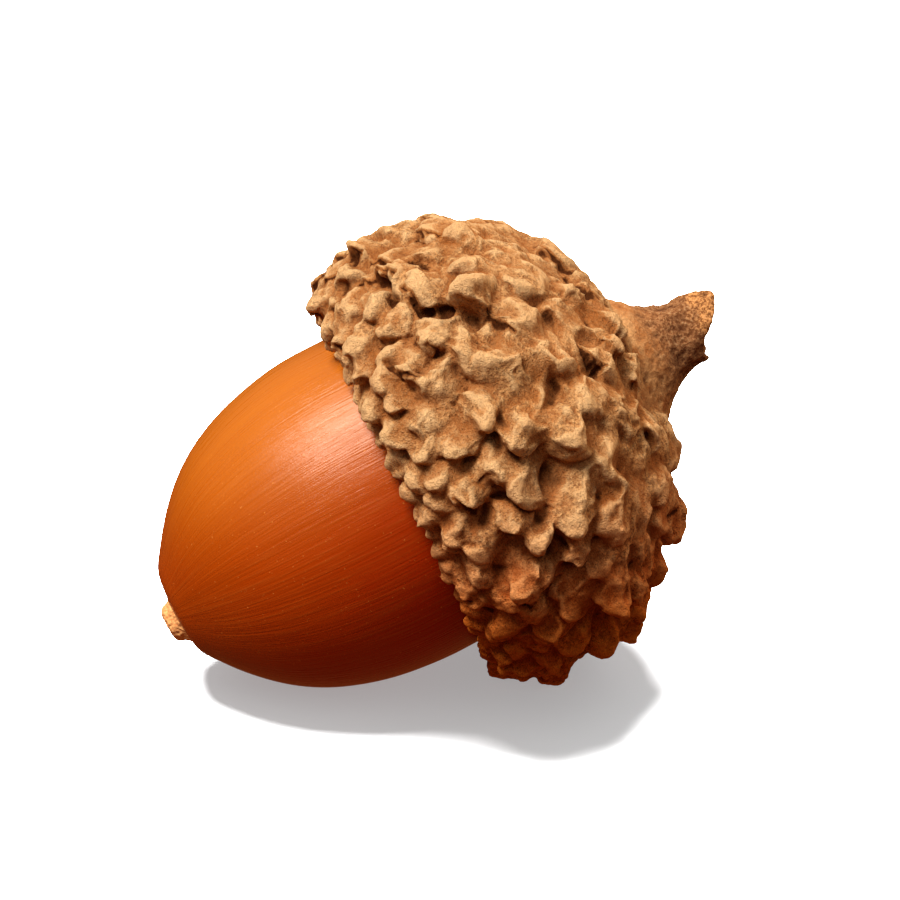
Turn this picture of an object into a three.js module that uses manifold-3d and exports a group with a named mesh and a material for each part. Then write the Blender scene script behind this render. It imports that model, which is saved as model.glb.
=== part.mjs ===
// An acorn lying on its side: a smooth nut seated in a scaly cup, with the dried style on
// the nut's tip and the stub of stalk that the cup grew on.
//
// Millimetres, +Z up. Each piece is turned about the acorn's own axis, which is +Y here:
// y = 0 is the nut's tip, and the stalk ends at the top. The whole acorn is then laid over
// until the nut's belly and the cup's edge both touch the table, as a dropped acorn lies.

import * as THREE from "three";
import { mergeVertices } from "three/addons/utils/BufferGeometryUtils.js";
import Module from "manifold-3d";

// ---- driving dimensions -------------------------------------------------------------------

const NUT_RADIUS = 10.15;
const NUT_TAPER = 14; // length of the tapering half, from the tip to the widest place
const NUT_BARREL = 12.6; // length of the half that sits in the cup
const BARREL_POWER = 3; // how square the barrel's shoulder is: 2 is an ellipse
const SCAR_RADIUS = 5.2; // the flat scar on the nut's base, where it grew on the cup
const GAP = 0.3; // the dry nut has shrunk this much from its cup

const STYLE_LENGTH = 1.05;
const STYLE_FOOT = 1.6;
const STYLE_END = 1.05;

const RIM = 15.8; // where the cup's rim crosses the nut
const RIM_SLANT = 0.01; // the rim leans this much to one side, mm per mm across
const CUP_BACK = 30.6; // where the cup's back ends and the stalk begins

const RIM_SCALE = 1.5; // width of the small scales at the rim
const SIDE_SCALE = 3.4; // width of the large scales on the cup's side
const SCALE_GROWTH = 10; // distance from the rim in which they grow to that
const SCALE_RELIEF = 0.62; // a scale's height as a share of its width
const SCALE_SKEW = 0.42; // the scales' free ends turn this far round from straight, in radians
const BOLD_SIDE = 0.26; // the side where the scales stand up most, in radians
const FREE_END = 0.6; // reach of a scale from its middle to its free end, in widths
const ROOT_END = 1.0; // reach from its middle back to its root
const HALF_WIDTH = 0.6; // half a scale's breadth, in widths
const GOLDEN_ANGLE = Math.PI * (3 - Math.sqrt(5)); // turn from each scale to the next

const STALK_LENGTH = 5.4;
const STALK_FOOT = 3.9;
const STALK_WAIST = 2.05;

const FLAT_DEPTH = 0.18; // how much the nut and the cup are worn flat where they rest

const ROUND = 116; // facets round the cup
const FACE_ROWS = 38; // rows of facets on its face, from the rim to the stalk
const NUT_ROUND = 56;
const SMALL_ROUND = 28;

// ---- outlines, as points (radius, height along the axis) -------------------------------------

// The nut's radius at a height: half an ellipse to the widest place, then a squarer barrel.
function nutRadius(y) {
  if (y < NUT_TAPER) {
    const t = 1 - y / NUT_TAPER;
    return NUT_RADIUS * Math.sqrt(Math.max(0, 1 - t * t));
  }
  const t = (y - NUT_TAPER) / NUT_BARREL;
  return NUT_RADIUS * Math.pow(Math.max(0, 1 - Math.pow(t, BARREL_POWER)), 1 / BARREL_POWER);
}

// The height at which the barrel has narrowed to a radius.
function barrelHeight(radius) {
  const t = Math.pow(1 - Math.pow(radius / NUT_RADIUS, BARREL_POWER), 1 / BARREL_POWER);
  return NUT_TAPER + NUT_BARREL * t;
}

// Evenly eased steps from a to b, closer together at the start.
function easedSteps(a, b, count) {
  const steps = [];
  for (let i = 0; i < count; i++) {
    const t = 1 - Math.cos(((i / (count - 1)) * Math.PI) / 2);
    steps.push(a + (b - a) * t);
  }
  return steps;
}

function nutOutline() {
  const tipPad = NUT_TAPER * (1 - Math.sqrt(1 - (STYLE_FOOT / NUT_RADIUS) ** 2));
  const scar = barrelHeight(SCAR_RADIUS);
  const outline = [new THREE.Vector2(0, tipPad)];
  for (const y of easedSteps(tipPad, NUT_TAPER, 13)) {
    outline.push(new THREE.Vector2(nutRadius(y), y));
  }
  for (const y of easedSteps(scar, NUT_TAPER, 10).reverse().slice(1)) {
    outline.push(new THREE.Vector2(nutRadius(y), y));
  }
  outline.push(new THREE.Vector2(0, scar));
  return outline;
}

// The cup's outer face under its scales, from the lip round to the flat that meets the stalk.
function cupFace() {
  return new THREE.SplineCurve([
    new THREE.Vector2(11.1, RIM - 0.1),
    new THREE.Vector2(12.1, RIM + 0.3),
    new THREE.Vector2(13.1, RIM + 1.7),
    new THREE.Vector2(13.4, RIM + 4.1),
    new THREE.Vector2(13.0, RIM + 6.9),
    new THREE.Vector2(11.9, RIM + 9.4),
    new THREE.Vector2(10.0, RIM + 11.8),
    new THREE.Vector2(7.5, RIM + 13.7),
    new THREE.Vector2(STALK_FOOT + 0.4, CUP_BACK),
  ]);
}

// The hollow that holds the nut, from the cup's floor up to the lip.
function cupHollow() {
  const floor = barrelHeight(SCAR_RADIUS) + GAP;
  const hollow = [new THREE.Vector2(0, floor), new THREE.Vector2(SCAR_RADIUS + GAP / 2, floor)];
  for (const y of easedSteps(floor - GAP, RIM + 0.4, 8).slice(1)) {
    hollow.push(new THREE.Vector2(nutRadius(y) + GAP, y + GAP * 0.3));
  }
  return hollow;
}

// ---- the cup's scales -----------------------------------------------------------------------

function smoothstep(t) {
  const x = Math.min(1, Math.max(0, t));
  return x * x * (3 - 2 * x);
}

// A number from 0 to 1 that is the same each time for the same scale.
function chance(index, salt) {
  const x = Math.sin(index * 12.9898 + salt * 78.233) * 43758.5453;
  return x - Math.floor(x);
}

function scaleWidth(along) {
  return RIM_SCALE + (SIDE_SCALE - RIM_SCALE) * Math.min(1, along / SCALE_GROWTH);
}

// How much the scales stand up on this side: 1 on the bold side, 0.6 across from it.
function boldness(angle) {
  return 0.8 + 0.2 * Math.cos(angle - BOLD_SIDE);
}

// Scales are laid from the rim to the stalk, each turned by the golden angle from the last,
// so that they pack in crossing spirals whatever their size.
function layScales(face, length) {
  const scales = [];
  let along = RIM_SCALE * 0.45;
  for (let i = 0; along < length; i++) {
    const radius = face.getPointAt(along / length).x;
    const width = scaleWidth(along);
    const angle = i * GOLDEN_ANGLE;
    const low = 1 - 0.6 * smoothstep((along - 10) / 6);
    scales.push({
      along,
      angle,
      radius,
      width: width * (0.85 + 0.3 * chance(i, 1)),
      height: width * SCALE_RELIEF * (0.6 + 0.5 * chance(i, 2)) * boldness(angle) * low,
    });
    along += (0.86 * width * width) / (2 * Math.PI * radius);
  }
  return scales;
}

// How far a scale lifts the face at a place: a tongue that rises from its root to a blunt
// free end, which points to the rim and a little way round.
function scaleLift(scale, along, angle) {
  const turn = Math.atan2(Math.sin(angle - scale.angle), Math.cos(angle - scale.angle));
  const back = (along - scale.along) / scale.width;
  const round = (turn * scale.radius) / scale.width;
  const length = back * Math.cos(SCALE_SKEW) - round * Math.sin(SCALE_SKEW);
  const side = (round * Math.cos(SCALE_SKEW) + back * Math.sin(SCALE_SKEW)) / HALF_WIDTH;
  const reach = length < 0 ? length / FREE_END : length / ROOT_END;
  const d = Math.hypot(reach, side);
  if (d >= 1) return 0;
  const slope = 1 - 0.5 * smoothstep(length / ROOT_END);
  return scale.height * slope * Math.pow(1 - d ** 3, 0.6) * (1 - 0.25 * Math.abs(side));
}

// ---- solids -----------------------------------------------------------------------------------

const wasm = await Module();
wasm.setup();

// A geometry as a manifold-3d solid.
function solidOf(geometry) {
  const bare = geometry.clone();
  bare.deleteAttribute("normal");
  bare.deleteAttribute("uv");
  const merged = mergeVertices(bare, 1e-4);
  return new wasm.Manifold(
    new wasm.Mesh({
      numProp: 3,
      vertProperties: merged.attributes.position.array,
      triVerts: new Uint32Array(merged.index.array),
    }),
  );
}

function geometryOf(solid) {
  const { vertProperties, triVerts } = solid.getMesh();
  const geometry = new THREE.BufferGeometry();
  geometry.setAttribute("position", new THREE.BufferAttribute(vertProperties, 3));
  geometry.setIndex(new THREE.BufferAttribute(triVerts, 1));
  geometry.computeVertexNormals();
  return geometry;
}

function nutGeometry() {
  return new THREE.LatheGeometry(nutOutline(), NUT_ROUND);
}

// The dried style: a stubby cone with a turned-out foot, its end slightly dished.
function styleGeometry() {
  const foot = NUT_TAPER * (1 - Math.sqrt(1 - (STYLE_FOOT / NUT_RADIUS) ** 2)) - GAP / 2;
  const outline = [
    new THREE.Vector2(0, foot - STYLE_LENGTH + 0.2),
    new THREE.Vector2(STYLE_END * 0.5, foot - STYLE_LENGTH + 0.05),
    new THREE.Vector2(STYLE_END * 0.9, foot - STYLE_LENGTH),
    new THREE.Vector2(STYLE_END * 1.05, foot - STYLE_LENGTH * 0.85),
    new THREE.Vector2(STYLE_END * 1.1, foot - STYLE_LENGTH * 0.5),
    new THREE.Vector2(STYLE_FOOT * 0.88, foot - STYLE_LENGTH * 0.2),
    new THREE.Vector2(STYLE_FOOT, foot),
    new THREE.Vector2(0, foot),
  ];
  return new THREE.LatheGeometry(outline, SMALL_ROUND);
}

// The cup: its face is turned as a smooth bowl, and the scales then push it out.
function cupGeometry() {
  const face = cupFace();
  const length = face.getLength();
  const facePoints = face.getSpacedPoints(FACE_ROWS);
  const hollow = cupHollow();
  const outline = [...hollow, ...facePoints, new THREE.Vector2(0, CUP_BACK)];
  const geometry = new THREE.LatheGeometry(outline, ROUND);
  const scales = layScales(face, length);
  const position = geometry.getAttribute("position");
  for (let v = 0; v < position.count; v++) {
    const row = v % outline.length;
    const share = (row - hollow.length) / (facePoints.length - 1);
    const [x, y, z] = [position.getX(v), position.getY(v), position.getZ(v)];
    const radius = Math.hypot(x, z);
    let outward = new THREE.Vector2(0, 0);
    if (share >= 0 && share <= 1) {
      const angle = Math.atan2(x, z);
      const along = share * length;
      const tangent = face.getTangentAt(share);
      const fade = smoothstep((1 - share) / 0.12);
      const lift = Math.max(0, ...scales.map((s) => scaleLift(s, along, angle))) * fade;
      outward = new THREE.Vector2(tangent.y, -tangent.x).multiplyScalar(lift);
    }
    // The rim leans; the lean dies away towards the stalk.
    const lean = RIM_SLANT * x * smoothstep((CUP_BACK - y) / (CUP_BACK - RIM));
    const grow = radius > 0 ? (radius + outward.x) / radius : 1;
    position.setXYZ(v, x * grow, y + outward.y - lean, z * grow);
  }
  return geometry;
}

// The stalk: it flares out where it joins the cup, and its end is broken off slantwise.
function stalkGeometry() {
  const foot = CUP_BACK + GAP;
  const outline = [
    new THREE.Vector2(0, foot),
    new THREE.Vector2(STALK_FOOT * 1.1, foot),
    new THREE.Vector2(STALK_FOOT * 0.94, foot + STALK_LENGTH * 0.12),
    new THREE.Vector2(STALK_FOOT * 0.76, foot + STALK_LENGTH * 0.3),
    new THREE.Vector2(STALK_WAIST * 1.2, foot + STALK_LENGTH * 0.5),
    new THREE.Vector2(STALK_WAIST, foot + STALK_LENGTH * 0.7),
    new THREE.Vector2(STALK_WAIST * 1.08, foot + STALK_LENGTH * 0.88),
    new THREE.Vector2(STALK_WAIST * 0.95, foot + STALK_LENGTH),
    new THREE.Vector2(STALK_WAIST * 0.55, foot + STALK_LENGTH * 0.96),
    new THREE.Vector2(0, foot + STALK_LENGTH * 0.9),
  ];
  const geometry = new THREE.LatheGeometry(outline, SMALL_ROUND);
  const position = geometry.getAttribute("position");
  for (let v = 0; v < position.count; v++) {
    const share = (position.getY(v) - foot) / STALK_LENGTH;
    const x = position.getX(v);
    const slant = share > 0.8 ? (-x / STALK_WAIST) * 0.55 : 0;
    position.setY(v, position.getY(v) + slant);
  }
  return geometry;
}

// ---- laying the acorn down ----------------------------------------------------------------------

// The acorn's axis leans up from the table by this angle; its +X side turns to the table.
function lying(tilt) {
  const [c, s] = [Math.cos(tilt), Math.sin(tilt)];
  return new THREE.Matrix4().makeBasis(
    new THREE.Vector3(s, 0, -c),
    new THREE.Vector3(c, 0, s),
    new THREE.Vector3(0, -1, 0),
  );
}

function lowest(geometry, matrix) {
  return new THREE.Box3().setFromBufferAttribute(
    geometry.clone().applyMatrix4(matrix).getAttribute("position"),
  ).min.z;
}

// The tilt at which the nut and the cup reach equally low, found by halving.
function restingTilt(nut, cup) {
  let [low, high] = [0, Math.PI / 3];
  for (let i = 0; i < 30; i++) {
    const tilt = (low + high) / 2;
    if (lowest(nut, lying(tilt)) > lowest(cup, lying(tilt))) low = tilt;
    else high = tilt;
  }
  return (low + high) / 2;
}

const shapes = { nut: nutGeometry(), cup: cupGeometry() };
const tilt = restingTilt(shapes.nut, shapes.cup);
const floor = lowest(shapes.cup, lying(tilt)) + FLAT_DEPTH;

// Everything under the table's face is worn away, which leaves a small flat on each.
const below = new THREE.BoxGeometry(80, 80, 10);
below.translate(0, 0, floor - 5);
below.applyMatrix4(lying(tilt).invert());
const belowSolid = solidOf(below);

function worn(geometry) {
  return geometryOf(solidOf(geometry).subtract(belowSolid));
}

function bark(colour, roughness) {
  return new THREE.MeshStandardMaterial({ color: colour, roughness, metalness: 0 });
}

function piece(name, geometry, material) {
  const mesh = new THREE.Mesh(geometry, material);
  mesh.name = name;
  return mesh;
}

const acorn = new THREE.Group();
acorn.add(
  piece("nut", worn(shapes.nut), bark(0xb8530f, 0.35)),
  piece("style", styleGeometry(), bark(0xc08a58, 0.9)),
  piece("cup", worn(shapes.cup), bark(0xb98a5c, 0.92)),
  piece("stalk", stalkGeometry(), bark(0x8d6844, 0.95)),
);
acorn.applyMatrix4(lying(tilt));

// The origin is on the table, under the middle of the acorn.
const box = new THREE.Box3().setFromObject(acorn, true);
const middle = box.getCenter(new THREE.Vector3());
acorn.position.sub(new THREE.Vector3(middle.x, middle.y, floor));

const part = new THREE.Group();
part.add(acorn);

export default part;
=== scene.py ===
# %% [markdown]
# # An acorn lying on a pale table
#
# An acorn is four things that grew together: a smooth nut, the dried style that is left on
# the nut's tip, a woody cup covered with small overlapping scales, and the stub of the stalk
# that carried the cup. The plain solids of all four are already there, at their real size
# and place. This lesson gives each one a fine surface and a finish of its own.

# %% Open the tools and the plain model
import math
import random

import bmesh
import bpy
import numpy as np
from mathutils import Matrix, Vector, kdtree, noise


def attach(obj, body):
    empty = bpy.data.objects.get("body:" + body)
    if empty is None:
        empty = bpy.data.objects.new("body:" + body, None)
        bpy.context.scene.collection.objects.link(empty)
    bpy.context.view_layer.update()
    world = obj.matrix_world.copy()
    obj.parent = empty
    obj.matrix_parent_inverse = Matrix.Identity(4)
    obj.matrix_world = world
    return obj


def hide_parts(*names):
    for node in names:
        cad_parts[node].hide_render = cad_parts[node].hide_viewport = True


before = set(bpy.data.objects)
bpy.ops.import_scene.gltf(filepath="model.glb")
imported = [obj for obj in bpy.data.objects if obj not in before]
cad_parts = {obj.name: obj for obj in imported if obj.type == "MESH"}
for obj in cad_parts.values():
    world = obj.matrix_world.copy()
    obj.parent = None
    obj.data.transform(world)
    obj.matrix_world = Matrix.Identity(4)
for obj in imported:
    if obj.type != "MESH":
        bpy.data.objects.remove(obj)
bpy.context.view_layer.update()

# %% [markdown]
# ## The acorn's own axes
#
# Everything here grew round one line, the acorn's axis, so it is far easier to shape each
# piece upright round Z, in millimetres, and lay it down afterwards. The plain model says
# where that line is: the middle of the nut and the middle of the style both lie on it.
# In these axes Z runs from the nut's tip to the stalk, and X is the side that faces up.

# %% Find the acorn's axis
MM = 0.001


def middle_of(node):
    """The middle of a plain piece's surface, with each face counted by its area."""
    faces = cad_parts[node].data.polygons
    area = sum(f.area for f in faces)
    return sum((f.center * f.area for f in faces), Vector()) / area


nut_middle = middle_of("nut")
axis = (nut_middle - middle_of("style")).normalized()
up = (Vector((0, 0, 1)) - axis * axis.z).normalized()
side = axis.cross(up)
heights = [v.co.dot(axis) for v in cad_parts["nut"].data.vertices]
print("axis leans up by", round(math.degrees(math.asin(axis.z)), 2), "degrees")

# %% Build the turn that lays an upright piece down
NUT_RADIUS = 10.15
NUT_TAPER = 14
STYLE_FOOT = 1.6
TIP_FLAT = NUT_TAPER * (1 - math.sqrt(1 - (STYLE_FOOT / NUT_RADIUS) ** 2))

tip = nut_middle + axis * (min(heights) - nut_middle.dot(axis) - TIP_FLAT * MM)
lay_down = Matrix.Translation(tip) @ Matrix((up, side, axis)).transposed().to_4x4()
lay_down = lay_down @ Matrix.Scale(MM, 4)
print("the tip is at, mm:", [round(v / MM, 2) for v in tip])


def around(angle, radius, height):
    """A point beside the acorn's axis. Angle 0 is the top of the lying acorn, 90 its front."""
    return Vector((radius * math.cos(angle), radius * math.sin(angle), height))


# %% Small helpers that every piece uses
def smoothstep(t):
    """0 up to 0, 1 from 1 on, and a smooth rise between them."""
    t = min(1.0, max(0.0, t))
    return t * t * (3 - 2 * t)


def wave(point, size, seed=0.0):
    """Smooth noise from -1 to 1 with lumps of about this size."""
    return noise.noise(Vector(point) / size + Vector((seed, 7.3 * seed, -3.1 * seed)))


def turned(outline, steps):
    """A bmesh spun round Z from an outline of (radius, height) points."""
    bm = bmesh.new()
    verts = [bm.verts.new((r, 0, z)) for r, z in outline]
    edges = [bm.edges.new(pair) for pair in zip(verts, verts[1:])]
    bmesh.ops.spin(
        bm, geom=verts + edges, cent=(0, 0, 0), axis=(0, 0, 1), angle=2 * math.pi,
        steps=steps, use_merge=True, use_normal_flip=False, use_duplicate=False,
    )
    bmesh.ops.remove_doubles(bm, verts=bm.verts, dist=1e-4)
    bmesh.ops.recalc_face_normals(bm, faces=bm.faces)
    return bm


def mesh_of(name, bm):
    """The bmesh made into a mesh of this name."""
    mesh = bpy.data.meshes.new(name)
    bm.to_mesh(mesh)
    bm.free()
    return mesh


def shown(name, mesh):
    """A new object in the scene that carries this mesh."""
    piece = bpy.data.objects.new(name, mesh)
    bpy.context.scene.collection.objects.link(piece)
    return piece


def with_modifiers(mesh, *steps):
    """A new mesh with modifiers run on it, each given as its kind and its settings."""
    rough = shown("rough", mesh)
    for kind, settings in steps:
        modifier = rough.modifiers.new(kind.lower(), kind)
        for setting, value in settings.items():
            setattr(modifier, setting, value)
    depsgraph = bpy.context.evaluated_depsgraph_get()
    done = bpy.data.meshes.new_from_object(rough.evaluated_get(depsgraph))
    bpy.data.objects.remove(rough)
    return done


def one_skin(bm, cell, most):
    """One closed skin round everything in the bmesh, of at most this many triangles."""
    mesh = with_modifiers(
        mesh_of("lumps", bm),
        ("REMESH", {"mode": "VOXEL", "voxel_size": cell}),
        ("SMOOTH", {"factor": 0.5, "iterations": 5}),
    )
    triangles = 2 * len(mesh.polygons)
    if triangles > most:
        thin = ("DECIMATE", {"ratio": most / triangles, "use_collapse_triangulate": True})
        mesh = with_modifiers(mesh, thin)
    print("a skin of", triangles, "triangles, kept", sum(len(p.vertices) - 2 for p in mesh.polygons))
    return mesh


def finished(name, mesh, node):
    """Lays an upright mesh down and gives it its object and its body, and hides the plain piece."""
    mesh.transform(lay_down)
    for v in mesh.vertices:
        v.co.z = max(v.co.z, 0)
    mesh.shade_smooth()
    piece = shown(name, mesh)
    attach(piece, "root")
    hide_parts(node)
    print(name, "has", sum(len(p.vertices) - 2 for p in mesh.polygons), "triangles")
    return piece


# %% [markdown]
# ## The nut
#
# The shell is a shape of revolution: half an ellipse to the widest place, then a squarer
# barrel that ends in the round scar where it grew on the cup. A spin makes it. No nut is
# quite round, so slow noise then moves the shell in and out by a tenth of a millimetre. The
# tip is a little slimmer and hangs a little low, and a low ring round it makes the shoulder
# from which the style stands.

# %% Spin the nut
NUT_BARREL = 12.6
BARREL_POWER = 3
SCAR_RADIUS = 5.2


def nut_radius(z):
    """The nut's radius at this height: an ellipse up to the widest place, a barrel beyond."""
    if z < NUT_TAPER:
        t = 1 - z / NUT_TAPER
        return NUT_RADIUS * math.sqrt(max(0, 1 - t * t))
    t = (z - NUT_TAPER) / NUT_BARREL
    return NUT_RADIUS * max(0, 1 - t**BARREL_POWER) ** (1 / BARREL_POWER)


def barrel_height(radius):
    """The height at which the barrel has closed in to this radius."""
    share = (radius / NUT_RADIUS) ** BARREL_POWER
    return NUT_TAPER + NUT_BARREL * (1 - share) ** (1 / BARREL_POWER)


scar_height = barrel_height(SCAR_RADIUS)
NUT_RINGS = 90
NUT_STEPS = 256
outline = [(0, 0)]
for i in range(1, NUT_RINGS):
    z = scar_height * (1 - math.cos(math.pi * i / NUT_RINGS)) / 2
    outline.append((nut_radius(z), z))
outline += [(SCAR_RADIUS, scar_height), (SCAR_RADIUS * 0.93, scar_height + 0.12), (0, scar_height)]
nut = turned(outline, NUT_STEPS)

# %% Make it less than perfect
SHOULDER = 0.2  # how far the ring round the style stands out
SHOULDER_RADIUS = 2.9
TIP_SLIM = 0.04  # the share of its radius that the nut loses near the tip
TIP_DROOP = 0.2
TIP_REACH = 6.0
for v in nut.verts:
    r = math.hypot(v.co.x, v.co.y)
    if r < 1e-6:
        continue
    out = Vector((v.co.x / r, v.co.y / r, 0))
    shoulder = SHOULDER * math.exp(-(((r - SHOULDER_RADIUS) / 0.9) ** 2)) * (v.co.z < NUT_TAPER)
    swell = 0.12 * wave(v.co, 9.0, 2.0) + 0.03 * wave(v.co, 3.0, 5.0)
    rib = 0.012 * noise.noise(out * 9.0 + Vector((0, 0, v.co.z * 0.02)))
    slim = TIP_SLIM * math.exp(-(((v.co.z - 1.5) / 2.2) ** 2)) * r
    v.co += out * (swell + rib - slim) * min(1, r / 3)
    v.co.x -= TIP_DROOP * max(0, 1 - v.co.z / TIP_REACH) ** 2
    v.co.z -= shoulder
nut_piece = finished("acorn_nut", mesh_of("acorn_nut", nut), "nut")

# %% [markdown]
# ## The cup's bowl
#
# The cup is a thick woody bowl. Its hollow follows the nut a third of a millimetre away, so
# one closed outline, hollow first and outer face second, is spun into a solid wall. No cup is
# quite round either: the side that faces up is fuller, and a few low swellings and dents,
# written down as places on the face, break its outline.

# %% Draw the cup's outer face
GAP = 0.3
RIM = 15.8
RIM_SLANT = 0.026
CUP_BACK = 30.6
STALK_FOOT = 3.9
FACE = [
    (11.1, RIM - 0.1),
    (12.1, RIM + 0.3),
    (13.1, RIM + 1.7),
    (13.4, RIM + 4.1),
    (13.0, RIM + 6.9),
    (11.9, RIM + 9.4),
    (10.0, RIM + 11.8),
    (7.5, RIM + 13.7),
    (STALK_FOOT + 0.4, CUP_BACK),
]
FACE_STEPS = 120


def curve_through(points, count):
    """Evenly spaced points on a smooth curve through these points, and the curve's length."""
    pts = [Vector(p) for p in points]
    pts = [2 * pts[0] - pts[1]] + pts + [2 * pts[-1] - pts[-2]]
    fine = []
    for a, b, c, d in zip(pts, pts[1:], pts[2:], pts[3:]):
        bend, rise = 2 * a - 5 * b + 4 * c - d, 3 * b - a - 3 * c + d
        for k in range(24):
            t = k / 24
            fine.append(0.5 * (2 * b + (c - a) * t + bend * t * t + rise * t**3))
    fine.append(pts[-2])
    reach = [0.0]
    for p, q in zip(fine, fine[1:]):
        reach.append(reach[-1] + (q - p).length)
    even = np.linspace(0, reach[-1], count)
    columns = [np.interp(even, reach, [p[k] for p in fine]) for k in (0, 1)]
    return [Vector(p) for p in zip(*columns)], reach[-1]


face_line, face_length = curve_through(FACE, FACE_STEPS + 1)
print("the cup's face is", round(face_length, 2), "mm from rim to stalk")


def on_face(along):
    """The place (radius, height) and the slope of the cup's face, this far from the rim."""
    at = min(max(along / face_length, 0), 0.9999) * FACE_STEPS
    i = int(at)
    p = face_line[i].lerp(face_line[i + 1], at - i)
    return p, (face_line[i + 1] - face_line[i]).normalized()


# %% Spin the bowl
BOWL_STEPS = 180
BARK_DEPTH = 0.4  # the wall lies up to this far under the cup's face
SWELLINGS = [  # millimetres from the rim, degrees round the axis, height, and reach to each side
    (2.0, 160, 0.6, 2.0),
    (7.2, 150, -1.4, 1.8),
    (10.6, 150, 1.0, 1.3),
    (12.8, 148, -0.6, 1.2),
    (15.8, 147, 1.0, 1.6),
    (18.0, 115, 0.8, 1.6),
    (9.0, -18, -0.7, 1.6),
    (12.0, -14, 0.4, 1.3),
    (15.0, -12, 0.4, 1.3),
    (18.2, 5, 0.4, 1.2),
]
floor_height = scar_height + GAP


def knobbly(angle):
    """How much the scales stand up on this side: most in front, less at the back, least on top."""
    front = (0.5 + 0.5 * math.cos(angle - math.radians(85))) ** 1.7
    behind = (0.5 + 0.5 * math.cos(angle + math.radians(115))) ** 4
    return front + 0.4 * behind


def wall_depth(along, angle):
    """How far the wall lies under the face that the scales' tops reach. The top is fuller."""
    back = 1 - 0.5 * smoothstep((along - 8) / 5)
    bark = BARK_DEPTH * back * (0.16 + 0.84 * smoothstep(1.2 * knobbly(angle)))
    full = (0.68 + 0.36 * smoothstep((along - 5) / 9)) * max(0, math.cos(angle + math.radians(12)))
    for place, turn, height, reach in SWELLINGS:
        beside = on_face(place)[0].x * math.remainder(angle - math.radians(turn), 2 * math.pi)
        full += height * math.exp(-((along - place) ** 2 + beside**2) / reach**2)
    return smoothstep(along / 1.6) * (bark - full)


hollow = [(0, floor_height), (SCAR_RADIUS + GAP / 2, floor_height)]
for i in range(1, 13):
    z = floor_height - GAP - (floor_height - GAP - RIM - 0.3) * i / 12
    hollow.append((nut_radius(z) + GAP, z))
face_rows = face_line[::3]
bowl = turned(hollow + [tuple(p) for p in face_rows] + [(0, CUP_BACK)], BOWL_STEPS)

# %% Sink the wall under the scales
for v in bowl.verts:
    r = math.hypot(v.co.x, v.co.y)
    row = min(range(len(face_rows)), key=lambda k: (face_rows[k] - Vector((r, v.co.z))).length)
    if (face_rows[row] - Vector((r, v.co.z))).length < 0.01:
        along = face_length * row / (len(face_rows) - 1)
        angle = math.atan2(v.co.y, v.co.x)
        slope = on_face(along)[1]
        v.co -= around(angle, slope.y, -slope.x) * wall_depth(along, angle)
print("the bowl has", len(bowl.verts), "corners")

# %% [markdown]
# ## The cup's scales
#
# Each scale is a thick little tongue, rooted towards the stalk and free towards the rim.
# They are small in the rows at the rim and grow to three millimetres on the cup's side.
# Like the seeds of a sunflower, each one is turned by the golden angle from the one before,
# which packs them in crossing spirals at any size.

# %% Lay out the scales
RIM_SCALE = 1.35
SIDE_SCALE = 3.1
SCALE_GROWTH = 9.0  # how far from the rim the scales reach their full width
CROWDING = 0.74  # the share of its width squared that each scale has to itself
GOLDEN_ANGLE = math.pi * (3 - math.sqrt(5))
random.seed(7)


def scale_width(along):
    return RIM_SCALE + (SIDE_SCALE - RIM_SCALE) * min(1, along / SCALE_GROWTH)


scales = []
rim_count = round(2 * math.pi * on_face(0.5)[0].x / (RIM_SCALE * 0.85))
for i in range(rim_count):
    angle = 2 * math.pi * (i + random.uniform(-0.15, 0.15)) / rim_count
    scales.append((random.uniform(0.3, 0.5), angle, RIM_SCALE * random.uniform(0.95, 1.1)))
along = 1.5
while along < face_length - 0.4:
    width = scale_width(along)
    loose = 0.16 * width * smoothstep(along / 3)
    angle = len(scales) * GOLDEN_ANGLE + random.uniform(-loose, loose) / on_face(along)[0].x
    scales.append((along + random.uniform(-loose, loose), angle, width))
    along += CROWDING * width * width / (2 * math.pi * on_face(along)[0].x)
print(len(scales), "scales,", rim_count, "of them along the rim")

# %% [markdown]
# ### One scale
#
# A sphere of small triangles is stretched into a tongue. Its root sinks into the wall, so
# that it grows out of the wood with no edge, and its free end stands up, blunt, with a ridge
# along its back. On the front of the cup the tongues are thick and end in a knuckle, and at
# the back a little less so. On top and below they lie flat, wide and deeper in the wall, and
# many have a slit under their free end. Near the stalk they are low.

# %% Shape one scale
SKEW = math.radians(38)
slits = []


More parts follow.
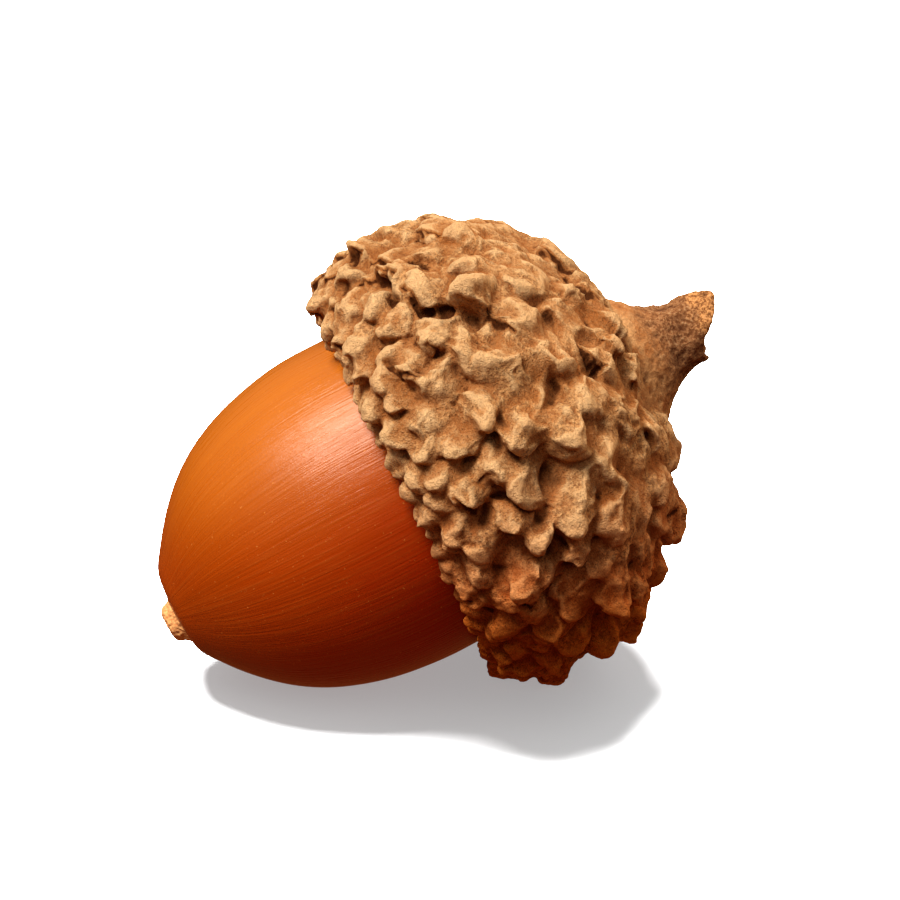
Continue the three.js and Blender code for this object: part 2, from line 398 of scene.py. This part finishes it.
def add_scale(bm, along, angle, width):
    """One tongue, its free end pointing to the rim and a little way round.

    In its own axes it lies along Y with its root at y = -1 and its free end at y = 1, and Z
    stands out of the wall. t goes from 0 at the root to 1 at the free end. Its sizes are
    shares of its width, and knob, low and small say how much it is of the front, of the
    stalk's end and of the rim.
    """
    place, slope = on_face(along)
    knob = smoothstep(1.25 * knobbly(angle) + random.uniform(-0.2, 0.2))
    low = smoothstep((along - 8) / 6)
    small = 1 - smoothstep((along - 0.5) / 1.6)
    skew = (SKEW + math.radians(random.gauss(0, 13))) * (1 - small)
    half_width = width * random.uniform(0.5, 0.66) * (1.3 - 0.3 * knob)
    half_length = width * random.uniform(0.82, 1.1) * (1 - 0.36 * small)
    thick = width * random.uniform(0.18, 0.26) * (1 + 0.7 * small) * (1 - 0.35 * low) * (0.75 + 0.25 * knob)
    lift = width * random.uniform(0.14, 0.34) * knob * (1 - 0.8 * low) * (1 - small)
    keel = width * random.uniform(0.25, 0.45) * (0.2 + 0.8 * knob) * (1 - 0.7 * low)
    sink = width * random.uniform(0.26, 0.36) * (1 - small)
    lean = random.uniform(-0.6, 0.6)
    bend = random.uniform(-0.4, 0.4)
    seed = random.uniform(0, 99)

    outward = around(angle, slope.y, -slope.x)
    rimward = around(angle, -slope.x, -slope.y)
    roundward = Vector((-math.sin(angle), math.cos(angle), 0))
    tongue = math.cos(skew) * rimward + math.sin(skew) * roundward
    across = tongue.cross(outward)
    centre = around(angle, place.x, place.y) - outward * (wall_depth(along, angle) + 0.02 * width)
    centre -= tongue * 0.2 * width * (1 - small) + outward * 0.2 * width * small
    centre -= outward * 0.22 * width * (1 - knob)

    made = bmesh.ops.create_icosphere(bm, subdivisions=3, radius=1)
    for v in made["verts"]:
        x, y, z = v.co
        ring = math.sqrt(max(1e-6, 1 - y * y))
        full = (1 - min(1, abs(y)) ** 3) ** 0.42
        x, z = x / ring * full, z / ring * full
        t = (y + 1) / 2
        ridge = max(0, 1 - abs(x - lean * t)) * smoothstep(z + 0.6)
        px = x * half_width * (0.9 + 0.3 * t - 0.2 * t**4) + bend * half_width * t * t
        py = y * half_length
        pz = z * thick * (0.8 + 0.6 * t) + ridge * keel * (0.25 + 0.95 * t)
        pz += lift * t**1.4 - sink * (1 - t) ** 1.6
        lump = noise.noise(Vector((px + seed, py, pz)) / (0.45 * width))
        fine = noise.noise(Vector((px, py + seed, pz)) / (0.2 * width))
        pz += (0.14 * lump + 0.05 * fine) * width
        px += 0.12 * lump * width
        v.co = centre + across * px + tongue * py + outward * pz
    if random.random() < (0.8 if knob < 0.55 else 0.15) * (1 - small):
        slits.append((centre + tongue * half_length * 0.95, across, tongue, half_width))


# %% Join the scales and the bowl into one skin
for along, angle, width in scales:
    add_scale(bowl, along, angle, width)
cup_mesh = one_skin(bowl, 0.16, 196000)


# %% Roughen the skin
def points_of(mesh):
    """The places of the mesh's corners, one row each."""
    flat = np.empty(3 * len(mesh.vertices))
    mesh.vertices.foreach_get("co", flat)
    return flat.reshape(-1, 3)


def move_points(mesh, points):
    mesh.vertices.foreach_set("co", points.ravel())
    mesh.update()


def directions_of(mesh):
    """Which way the skin faces at each corner."""
    flat = np.empty(3 * len(mesh.vertices))
    mesh.vertices.foreach_get("normal", flat)
    return flat.reshape(-1, 3)


CRUMPLE_SEED = 7


def crumpled(p):
    """The corner moved by noise in every direction, so that the scales run together."""
    drift = noise.noise_vector(p / 2.4) * 0.42 + noise.noise_vector(p / 1.0) * 0.16
    return p + drift * smoothstep((p.z - RIM) / 3 + 0.3)


# The bark's own relief is warts and folds, pits, fine grit, and slow swellings on the outside.
cup_points = points_of(cup_mesh)
outs = directions_of(cup_mesh)
grain = np.array(
    [
        0.36 * (0.22 - abs(wave(p, 1.6, 3.0))) + 0.2 * (0.2 - abs(wave(p, 0.75, 6.0)))
        + 0.06 * wave(p, 0.38, 4.0)
        for p in cup_points
    ]
)
swell = np.array(
    [
        0.3 * wave(p, 4.5, 9.0) * (math.hypot(p[0], p[1]) > nut_radius(p[2]) + 0.6 and p[2] > RIM + 2)
        for p in cup_points
    ]
)
cup_points += outs * (grain + swell)[:, None]

# %% Cut slits under some free ends and crumple the whole
SLIT_WIDTH = 0.12
SLIT_DEPTH = 0.15
noise.seed_set(CRUMPLE_SEED)  # without it, the vector noise would differ from run to run
slit_share = np.zeros(len(cup_points))
for tip_place, across, tongue, half_width in slits:
    offset = cup_points - np.array(tip_place)
    near = np.flatnonzero((offset * offset).sum(axis=1) < (1.3 * half_width) ** 2)
    u = offset[near] @ np.array(across)
    v = offset[near] @ np.array(tongue)
    arc = v + 0.35 * u * u / half_width
    here = np.exp(-((arc / SLIT_WIDTH) ** 2)) * (np.abs(u) < 0.62 * half_width)
    slit_share[near] = np.maximum(slit_share[near], here)
cup_points -= outs * (SLIT_DEPTH * slit_share)[:, None]
cup_points = np.array([crumpled(Vector(p)) for p in cup_points])
print(len(slits), "slits")

# %% Lean the rim
# The rim's edge lies a little nearer the stalk above than it does at the front and back.
upper_side = 0.6 * np.abs(cup_points[:, 0]) + 0.4 * cup_points[:, 0]
share = np.clip((CUP_BACK - cup_points[:, 2]) / (CUP_BACK - RIM), 0, 1)
cup_points[:, 2] += RIM_SLANT * upper_side * share * share * (3 - 2 * share)
move_points(cup_mesh, cup_points)

# %% [markdown]
# ### Where shade is painted on the cup
#
# Shade falls between the scales, and the finish paints it there as painted shade, while
# rubbing pales their ridges. So each corner of the skin is compared with a smoothed copy of
# it: a corner that lies below the copy is in a crevice, and one above it is on a ridge. The
# result is kept on the mesh for the finish to read.


# %% Measure crevices and ridges
def smoothed(mesh, points, rounds):
    """The corners after each has moved towards its neighbours this many times."""
    pairs = np.empty(2 * len(mesh.edges), int)
    mesh.edges.foreach_get("vertices", pairs)
    a, b = pairs.reshape(-1, 2).T
    count = np.bincount(a, minlength=len(points)) + np.bincount(b, minlength=len(points))
    for _ in range(rounds):
        total = np.stack(
            [
                np.bincount(a, points[b, k], len(points)) + np.bincount(b, points[a, k], len(points))
                for k in range(3)
            ],
            axis=1,
        )
        points = 0.4 * points + 0.6 * total / count[:, None]
    return points


def depth_below(mesh, rounds):
    """How far each corner lies below the smoothed skin, in the mesh's units."""
    points = points_of(mesh)
    return ((smoothed(mesh, points, rounds) - points) * directions_of(mesh)).sum(axis=1)


def keep(mesh, name, values):
    """Stores one value for each corner on the mesh."""
    attribute = mesh.attributes.new(name, "FLOAT", "POINT")
    attribute.data.foreach_set("value", np.asarray(values, np.float32))


wide, narrow = depth_below(cup_mesh, 90), depth_below(cup_mesh, 12)
print("crevices go", round(float(wide.max()), 2), "mm below the smoothed skin")
# Slits count as deep crevices, so the finish paints shade into them too.
keep(cup_mesh, "crevice", np.clip(wide / 0.8 + narrow / 0.16 + 2.2 * slit_share, -1, 1.8))
tree = kdtree.KDTree(len(scales))
for i, (along, angle, width) in enumerate(scales):
    place = on_face(along - 0.3 * width)[0]
    tree.insert(around(angle, place.x, place.y), i)
tree.balance()
shades = [random.uniform(-1, 1) for _ in scales]
keep(cup_mesh, "tint", [shades[tree.find(p)[1]] for p in cup_points])
cup_piece = finished("acorn_cup", cup_mesh, "cup")

# %% [markdown]
# ## The style
#
# The flower's style dries to a hard corky peg on the nut's tip. It is a short turned peg,
# remeshed and pitted, pressed a little way into the shell and hanging low on it.

# %% Turn the style
STYLE_LENGTH = 1.0
STYLE_END = 1.05
STYLE_SHIFT = (-0.75, 0, 0.1)
peg = [
    (0, TIP_FLAT - STYLE_LENGTH),
    (STYLE_END * 0.7, TIP_FLAT - STYLE_LENGTH),
    (STYLE_END, TIP_FLAT - STYLE_LENGTH * 0.85),
    (STYLE_END * 1.2, TIP_FLAT - STYLE_LENGTH * 0.45),
    (STYLE_FOOT * 0.95, TIP_FLAT - 0.1),
    (STYLE_FOOT, TIP_FLAT + 0.12),
    (STYLE_FOOT * 0.8, TIP_FLAT + 0.3),
    (0, TIP_FLAT + 0.3),
]
style_mesh = one_skin(turned(peg, 48), 0.05, 40000)
style_points = points_of(style_mesh)
pits = np.array(
    [
        0.10 * wave(p, 0.8, 1.0) + 0.06 * wave(p, 0.25, 2.0) - 0.09 * max(0, wave(p, 0.2, 6.0) - 0.2)
        for p in style_points
    ]
)
style_points += directions_of(style_mesh) * pits[:, None]
style_points += np.array(STYLE_SHIFT)
move_points(style_mesh, style_points)
keep(style_mesh, "crevice", np.clip(depth_below(style_mesh, 40) / 0.06, -1, 1.5))
style_piece = finished("acorn_style", style_mesh, "style")

# %% [markdown]
# ## The stalk
#
# The stalk flares where it grows into the cup and is ribbed along its length, like the twig
# it was. It broke off unevenly: the end is a rough dish with two raised lips.

# %% Turn the stalk
STALK_WAIST = 2.05
STALK_LEAN = 0.45
STALK_FLARE = 0.7  # how far its foot reaches up the cup on the upper side
foot = CUP_BACK - 0.5
stub = [
    (0, foot - 0.9),
    (STALK_FOOT + 2.6, foot - 0.7),
    (STALK_FOOT + 1.5, foot + 0.2),
    (STALK_FOOT * 1.1, foot + 1.0),
    (STALK_FOOT * 0.86, foot + 2.0),
    (STALK_WAIST * 1.28, foot + 3.1),
    (STALK_WAIST, foot + 4.4),
    (STALK_WAIST * 1.02, foot + 5.4),
    (STALK_WAIST * 0.94, foot + 6.1),
    (STALK_WAIST * 0.6, foot + 5.9),
    (0, foot + 5.2),
]
stalk_line = curve_through(stub, 40)[0]
stalk_line[0].x = stalk_line[-1].x = 0
stalk_mesh = one_skin(turned([tuple(p) for p in stalk_line], 64), 0.11, 80000)

# %% Rib it and break its end
stalk_points = points_of(stalk_mesh)
for p in stalk_points:
    angle = math.atan2(p[1], p[0])
    up_share = (p[2] - foot) / 6
    end = smoothstep((up_share - 0.75) / 0.25)
    lips = 0.5 * math.cos(2 * (angle - math.radians(20))) + 0.75 * math.cos(angle) + 0.05
    p[2] += end * (lips + 0.25 * wave(p, 0.8, 8.0))
    grow = 1 + 0.07 * wave((math.cos(angle) * 3, math.sin(angle) * 3, p[2] * 0.5), 1.2, 5.0)
    p[0] *= grow
    p[1] *= grow
    p[0] += STALK_LEAN * smoothstep(1.5 * up_share)
    p[0] += STALK_FLARE * math.exp(-(((p[2] - foot - 1.6) / 1.6) ** 2)) * max(0, math.cos(angle))
rough = np.array(
    [
        0.2 * wave(p, 1.6, 1.0) + 0.16 * (0.2 - abs(wave(p, 0.8, 5.0))) + 0.07 * wave(p, 0.35, 2.0)
        for p in stalk_points
    ]
)
move_points(stalk_mesh, stalk_points)
move_points(stalk_mesh, stalk_points + directions_of(stalk_mesh) * rough[:, None])
keep(stalk_mesh, "crevice", np.clip(depth_below(stalk_mesh, 40) / 0.15, -1, 1.5))
stalk_piece = finished("acorn_stalk", stalk_mesh, "stalk")

# %% [markdown]
# ## Finishes
#
# All four finishes read the same coordinates: millimetres in the acorn's own upright axes,
# so that streaks can run along the nut. A Mapping node of the texture kind undoes the turn
# that laid the pieces down.


# %% A small kit for node trees
class Finish:
    """A material with its shader, and a short way to add and join nodes."""

    def __init__(self, name):
        self.material = bpy.data.materials.new(name)
        self.material.use_nodes = True
        self.tree = self.material.node_tree
        self.shader = self.tree.nodes["Principled BSDF"]
        place = self.add("ShaderNodeMapping", vector_type="TEXTURE")
        place.inputs["Location"].default_value = lay_down.translation
        place.inputs["Rotation"].default_value = lay_down.to_euler()
        place.inputs["Scale"].default_value = (MM, MM, MM)
        self.join(self.add("ShaderNodeTexCoord").outputs["Object"], place.inputs["Vector"])
        self.mm = place.outputs[0]

    def add(self, kind, **settings):
        node = self.tree.nodes.new(kind)
        for name, value in settings.items():
            setattr(node, name, value)
        return node

    def join(self, source, target):
        """Links a socket to the target, or sets the target to a constant."""
        if isinstance(source, bpy.types.NodeSocket):
            self.tree.links.new(source, target)
        else:
            target.default_value = source

    def math(self, operation, a, b=0.0):
        node = self.add("ShaderNodeMath", operation=operation)
        self.join(a, node.inputs[0])
        self.join(b, node.inputs[1])
        return node.outputs[0]

    def vector(self, operation, a, b):
        node = self.add("ShaderNodeVectorMath", operation=operation)
        self.join(a, node.inputs[0])
        self.join(b, node.inputs[1])
        return node.outputs[0]

    def along(self, direction):
        """The dot product of the place, in millimetres from the tip, with this direction."""
        node = self.add("ShaderNodeVectorMath", operation="DOT_PRODUCT")
        self.join(self.mm, node.inputs[0])
        self.join(direction, node.inputs[1])
        return node.outputs["Value"]

    def axes(self):
        """The place as X (to the upper side), Y (to the front) and Z (from tip to stalk)."""
        node = self.add("ShaderNodeSeparateXYZ")
        self.join(self.mm, node.inputs[0])
        return node.outputs

    def noise(self, vector, size, detail=3.0, rough=0.5, twist=0.0):
        """Noise from 0 to 1 with lumps of about this size, in the vector's units."""
        node = self.add("ShaderNodeTexNoise")
        self.join(vector, node.inputs["Vector"])
        node.inputs["Scale"].default_value = 1 / size
        node.inputs["Detail"].default_value = detail
        node.inputs["Roughness"].default_value = rough
        node.inputs["Distortion"].default_value = twist
        return node.outputs["Fac"]

    def spread(self, value, low, high, new_low=0.0, new_high=1.0):
        """The value stretched so that low to high becomes new_low to new_high, and no more."""
        node = self.add("ShaderNodeMapRange", interpolation_type="SMOOTHSTEP")
        for source, name in zip(
            (value, low, high, new_low, new_high),
            ("Value", "From Min", "From Max", "To Min", "To Max"),
        ):
            self.join(source, node.inputs[name])
        return node.outputs[0]

    def mix(self, share, a, b, blend="MIX"):
        """The colour a with this share of the colour b laid over it."""
        node = self.add("ShaderNodeMix", data_type="RGBA", blend_type=blend)
        self.join(share, node.inputs["Factor"])
        for colour, socket in ((a, node.inputs[6]), (b, node.inputs[7])):
            self.join((*colour, 1) if isinstance(colour, tuple) else colour, socket)
        return node.outputs[2]

    def kept(self, name):
        """A value that was stored on the mesh."""
        return self.add("ShaderNodeAttribute", attribute_name=name).outputs["Fac"]

    def bumps(self, *layers):
        """Stacks bumps, each given as (height from 0 to 1, its depth in millimetres)."""
        normal = None
        for height, depth in layers:
            node = self.add("ShaderNodeBump")
            node.inputs["Distance"].default_value = depth * MM
            self.join(height, node.inputs["Height"])
            if normal is not None:
                self.join(normal, node.inputs["Normal"])
            normal = node.outputs[0]
        self.join(normal, self.shader.inputs["Normal"])

    def paint(self, piece, colour, roughness, specular=0.5):
        """Gives the piece this finish."""
        self.join(colour, self.shader.inputs["Base Color"])
        self.join(roughness, self.shader.inputs["Roughness"])
        self.join(specular, self.shader.inputs["Specular IOR Level"])
        piece.data.materials.append(self.material)


# %% The nut's shell
# The grain is noise on a cylinder that is squeezed lengthwise, so its lumps become streaks.
STREAK_SHRINK = 0.035
shell = Finish("nut_shell")
upright = shell.vector("MULTIPLY", shell.mm, (1, 1, 0))
ring = shell.vector("NORMALIZE", upright, (0, 0, 0))
ring = shell.vector("MULTIPLY", ring, (NUT_RADIUS,) * 3)
lengthwise = shell.add("ShaderNodeCombineXYZ")
shell.join(shell.math("MULTIPLY", shell.axes()["Z"], STREAK_SHRINK), lengthwise.inputs["Z"])
grain = shell.vector("ADD", ring, lengthwise.outputs[0])
streaks = shell.noise(grain, 0.15, 3, 0.65)
bands = shell.noise(grain, 0.8, 2, 0.5)
broad = shell.noise(grain, 3.0, 2, 0.5)
blotch = shell.noise(shell.mm, 4.0, 3, 0.55)
# Painted shade and light: the colour darkens towards the lower side and brightens on the upper side. The
# darkening towards the cup is the nut's own ripeness.
upper_and_tip = shell.along((0.085, 0.0, -0.04))
ripeness_and_painted_shade = shell.math("ADD", upper_and_tip, shell.math("MULTIPLY", blotch, 0.5))
# From below: how ripe it is, darker towards the cup, with painted shade on the lower side, then painted
# light on the upper side, bands, streaks and specks.
ripeness_and_painted_shade = shell.spread(shell.math("ADD", ripeness_and_painted_shade, shell.math("MULTIPLY", broad, 0.3)), -1.0, 0.9)
colour = shell.mix(ripeness_and_painted_shade, (0.3, 0.006, 0.0002), (0.33, 0.04, 0.0005))
# Painted light: the upper side is painted paler.
painted_light_on_top = shell.spread(shell.axes()["X"], 2.5, 10.5, 0, 0.85)
colour = shell.mix(painted_light_on_top, colour, (0.44, 0.115, 0.004))
colour = shell.mix(shell.spread(bands, 0.35, 0.7, 0, 0.07), colour, (0.22, 0.02, 0.001))
colour = shell.mix(shell.spread(streaks, 0.45, 0.75, 0, 0.14), colour, (0.5, 0.14, 0.015))
speck = shell.noise(shell.mm, 0.16, 1, 0.5)
colour = shell.mix(shell.spread(speck, 0.71, 0.79, 0, 0.4), colour, (0.7, 0.25, 0.05))
polish = shell.spread(streaks, 0.3, 0.75, 0.26, 0.36)
shell.bumps((streaks, 0.034), (bands, 0.012), (speck, 0.006))
shell.paint(nut_piece, colour, polish, 0.15)

# %% The cup's bark
bark = Finish("cup_scales")
crevice = bark.kept("crevice")
mottle = bark.noise(bark.mm, 2.6, 4, 0.6)
felt = bark.noise(bark.mm, 0.2, 4, 0.6, 0.2)
fibre = bark.noise(bark.mm, 0.08, 2, 0.6)
straight_up = tuple(lay_down[2][k] / MM for k in range(3))
# Painted shade: this mask grows towards the table, with patches, and darkens the lower side.
painted_shade_below = bark.math("ADD", bark.along(straight_up), bark.math("MULTIPLY", mottle, 5))
painted_shade_below = bark.spread(painted_shade_below, 16.0, 4.0)
# From below: patches, each scale's own tone, felt, stains and pale fibres, then the rubbed
# ridges, painted shade in the crevices, painted black shade in the deepest pits and slits,
# and painted shade that darkens the lower side.
colour = bark.mix(bark.spread(mottle, 0.3, 0.7), (0.4, 0.14, 0.034), (0.58, 0.27, 0.09))
colour = bark.mix(bark.spread(bark.kept("tint"), -1, 1, 0, 0.35), colour, (0.62, 0.33, 0.13))
colour = bark.mix(bark.spread(felt, 0.36, 0.6, 0.46, 0), colour, (0.22, 0.06, 0.01))
stain = bark.math("MULTIPLY", bark.spread(mottle, 0.44, 0.6, 0.1, 0.75), bark.spread(felt, 0.62, 0.4))
colour = bark.mix(stain, colour, (0.2, 0.08, 0.025))
colour = bark.mix(bark.spread(fibre, 0.4, 0.64, 0, 0.2), colour, (0.76, 0.47, 0.22))
colour = bark.mix(bark.spread(crevice, -0.9, -0.15, 0.6, 0), colour, (0.76, 0.45, 0.2))
# Painted shade: the crevices are painted dark brown, and the deepest pits and slits near black.
colour = bark.mix(bark.spread(crevice, -0.3, 0.7, 0, 0.6), colour, (0.26, 0.065, 0.008))
colour = bark.mix(bark.spread(crevice, 0.8, 1.8, 0, 0.9), colour, (0.04, 0.007, 0.0008))
# Painted shade: the lower side, towards the table, is painted darker and redder.
colour = bark.mix(painted_shade_below, colour, (0.8, 0.33, 0.08), "MULTIPLY")
bark.bumps((felt, 0.28), (fibre, 0.11))
bark.paint(cup_piece, colour, bark.spread(felt, 0.3, 0.7, 0.95, 0.8), 0.03)

# %% The style's cork
cork = Finish("dried_style")
pit = cork.noise(cork.mm, 0.16, 3, 0.6)
colour = cork.mix(cork.spread(pit, 0.35, 0.65), (0.6, 0.21, 0.055), (0.8, 0.38, 0.12))
# Painted shade in the style's pits.
colour = cork.mix(cork.spread(cork.kept("crevice"), 0.1, 1, 0, 0.6), colour, (0.06, 0.02, 0.005))
cork.bumps((pit, 0.06))
cork.paint(style_piece, colour, 0.9)

# %% The stalk's bark
twig = Finish("stalk_bark")
grit = twig.noise(twig.mm, 0.2, 4, 0.7)
patch = twig.noise(twig.mm, 1.4, 3, 0.6)
height = twig.math("ADD", twig.axes()["Z"], twig.math("MULTIPLY", patch, 2.5))
# From below: patches, the weathered half, the break, dark and pale grit, and painted shade in the crevices.
colour = twig.mix(twig.spread(patch, 0.35, 0.65), (0.4, 0.14, 0.034), (0.58, 0.28, 0.1))
weathered = twig.spread(height, foot + 3.0, foot + 4.8, 0.15, 0.9)
colour = twig.mix(weathered, colour, (0.3, 0.125, 0.045))
broken = twig.spread(height, foot + 6.6, foot + 7.2)
colour = twig.mix(broken, colour, (0.62, 0.26, 0.08))
dark_grit = twig.math("MULTIPLY", twig.spread(grit, 0.42, 0.56, 0.95, 0), weathered)
colour = twig.mix(dark_grit, colour, (0.12, 0.035, 0.008))
colour = twig.mix(twig.spread(grit, 0.58, 0.66, 0, 0.3), colour, (0.7, 0.44, 0.22))
# Painted shade in the crevices.
colour = twig.mix(twig.spread(twig.kept("crevice"), -0.2, 0.9, 0, 0.9), colour, (0.06, 0.013, 0.002))
twig.bumps((grit, 0.25))
twig.paint(stalk_piece, colour, 0.95, 0.1)

# %% [markdown]
# ## Table, light and camera
#
# The table is a plain pale sheet. The main light stands at the upper left of the camera and
# models the scales. The nut has its own pair from the same side, one for its colour and a
# wider one for its shine, so that the shine can be set alone. A weak warm light comes from
# the stalk's side. A wide light above and behind falls on the table only, and the nut and
# the cup shade it, which drops a soft shadow to the front.

# %% The table
# The sheet glows a little of itself, so that the shade on it stays pale.
TABLE_HALF_SIZE = 2.0
bm = bmesh.new()
bmesh.ops.create_grid(bm, x_segments=1, y_segments=1, size=TABLE_HALF_SIZE)
floor = shown("table", mesh_of("table", bm))
paper = bpy.data.materials.new("paper")
paper.use_nodes = True
for socket, value in (
    ("Base Color", (0.5, 0.5, 0.5, 1)),
    ("Roughness", 1),
    ("Emission Color", (1, 1, 1, 1)),
    ("Emission Strength", 0.335),
):
    paper.node_tree.nodes["Principled BSDF"].inputs[socket].default_value = value
floor.data.materials.append(paper)
floor.visible_diffuse = False
floor.visible_glossy = False


# %% The lights
LAMPS_AIM_AT = Vector((0, 0, 0.012))


def softbox(name, place, size, power):
    """A round lamp at this place, facing the acorn's middle."""
    lamp = bpy.data.lights.new(name, "AREA")
    lamp.shape = "DISK"
    lamp.size = size
    lamp.energy = power
    lamp_object = bpy.data.objects.new(name, lamp)
    bpy.context.scene.collection.objects.link(lamp_object)
    lamp_object.location = place
    lamp_object.rotation_mode = "QUATERNION"
    lamp_object.rotation_quaternion = (Vector(place) - LAMPS_AIM_AT).to_track_quat("Z", "Y")
    return lamp_object


def collection_of(name, *members):
    """A collection for light linking. It isn't part of the scene's own tree."""
    made = bpy.data.collections.new(name)
    for member in members:
        made.objects.link(member)
    return made


key = softbox("key", (-0.19, -0.11, 0.35), 0.16, 3.2)
key.light_linking.receiver_collection = collection_of("rough_pieces", cup_piece, style_piece, stalk_piece)
glow = softbox("glow", (-0.19, -0.11, 0.35), 0.2, 2.7)
glow.visible_glossy = False
shine = softbox("shine", (-0.19, -0.08, 0.38), 0.28, 7.6)
shine.data.color = (1, 0.88, 0.72)
shine.visible_diffuse = False
for lamp in (glow, shine):
    lamp.light_linking.receiver_collection = collection_of("smooth_piece", nut_piece)
behind = softbox("behind", (0.3, 0.12, 0.2), 0.2, 0.9)
behind.data.color = (1, 0.72, 0.45)
behind.light_linking.receiver_collection = collection_of(
    "lit_from_behind", nut_piece, cup_piece, style_piece, stalk_piece
)
overhead = softbox("overhead", (-0.055, 0.09, 0.45), 0.3, 46.0)
overhead.light_linking.receiver_collection = collection_of("lit_from_overhead", floor)
overhead.light_linking.blocker_collection = collection_of("shades_the_table", nut_piece, cup_piece)

# %% The room, warm below, dark at the horizon and pale above
world = bpy.data.worlds.new("room")
world.use_nodes = True
room = world.node_tree
sky = room.nodes.new("ShaderNodeTexCoord")
split = room.nodes.new("ShaderNodeSeparateXYZ")
ramp = room.nodes.new("ShaderNodeValToRGB")
upward = room.nodes.new("ShaderNodeMapRange")
upward.inputs["From Min"].default_value = -1
room.links.new(sky.outputs["Generated"], split.inputs[0])
room.links.new(split.outputs["Z"], upward.inputs["Value"])
room.links.new(upward.outputs[0], ramp.inputs["Fac"])
for place, tone in (
    (0.0, (0.25, 0.075, 0.018)),
    (0.46, (0.25, 0.075, 0.018)),
    (0.54, (0.07, 0.06, 0.05)),
    (1.0, (0.4, 0.36, 0.31)),
):
    stop = ramp.color_ramp.elements.new(place)
    stop.color = (*tone, 1)
room.links.new(ramp.outputs[0], room.nodes["Background"].inputs["Color"])
bpy.context.scene.world = world
bpy.context.scene.view_settings.view_transform = "Standard"

# %% The camera
VIEW_AZIMUTH = math.radians(-13)
VIEW_ELEVATION = math.radians(20)
VIEW_ROLL = math.radians(1.4)
VIEW_DISTANCE = 0.1543
AIM_RIGHT = 0.00092
AIM_UP = 0.01319
camera_data = bpy.data.cameras.new("camera")
camera_data.lens = 100
camera_data.clip_start = 0.01
camera = bpy.data.objects.new("camera", camera_data)
bpy.context.scene.collection.objects.link(camera)
back = Vector((
    math.sin(VIEW_AZIMUTH) * math.cos(VIEW_ELEVATION),
    -math.cos(VIEW_AZIMUTH) * math.cos(VIEW_ELEVATION),
    math.sin(VIEW_ELEVATION),
))
right = Vector((0, 0, 1)).cross(back).normalized()
above = back.cross(right)
aim = right * AIM_RIGHT + above * AIM_UP
turn = Matrix((right, above, back)).transposed().to_4x4()
camera.matrix_world = (
    Matrix.Translation(aim + back * VIEW_DISTANCE) @ turn @ Matrix.Rotation(VIEW_ROLL, 4, "Z")
)
bpy.context.scene.camera = camera
